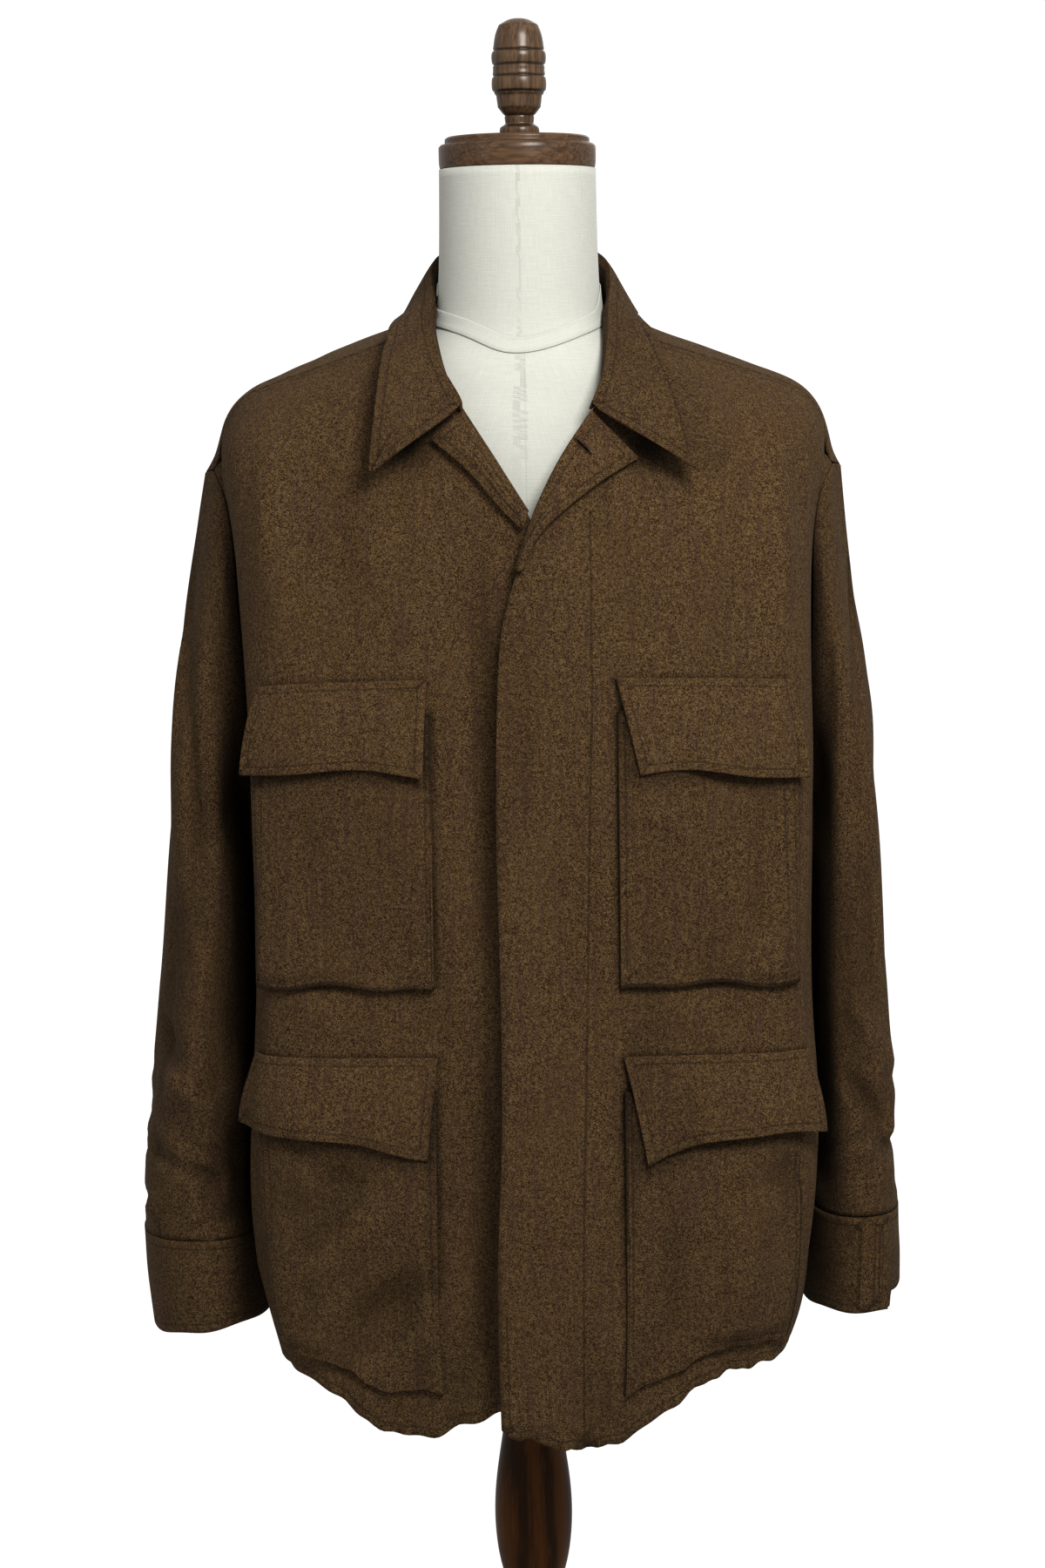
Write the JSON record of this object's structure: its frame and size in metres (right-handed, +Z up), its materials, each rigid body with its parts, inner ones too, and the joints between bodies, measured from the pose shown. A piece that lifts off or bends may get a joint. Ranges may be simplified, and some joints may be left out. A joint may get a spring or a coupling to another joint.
{
  "type": "battle dress jacket on a limbless dress form",
  "caption": "Long wool field jacket with spread collar, covered front and flapped bellows pockets, hanging open-sleeved on a linen dress form with a turned wooden stand.",
  "frame": {"origin": "centre of the underside of the stand's base, on the floor", "axes": "+Z up the pole, -Y the way the jacket faces, +X towards the wearer's left"},
  "size_m": [0.5869, 0.382, 1.695],
  "materials": {
    "wool": "brown melange wool twill, brushed, matte",
    "linen": "off-white plain-weave linen stretched over the form",
    "walnut": "dark stained turned wood with a satin varnish"
  },
  "bodies": {
    "root": {"back": "wool", "collar": "wool", "front_left": "wool", "front_right": "wool", "sleeve_left": "wool", "sleeve_right": "wool", "cuff_left": "wool", "cuff_right": "wool", "lapel_left": "wool", "lapel_right": "wool", "pocket_chest_left": "wool", "pocket_chest_right": "wool", "pocket_hip_left": "wool", "pocket_hip_right": "wool", "flap_chest_left": "wool", "flap_chest_right": "wool", "flap_hip_left": "wool", "flap_hip_right": "wool", "form": "linen", "neck_cap": "walnut", "finial": "walnut", "pole": "walnut", "base": "walnut"}
  },
  "joints": []
}
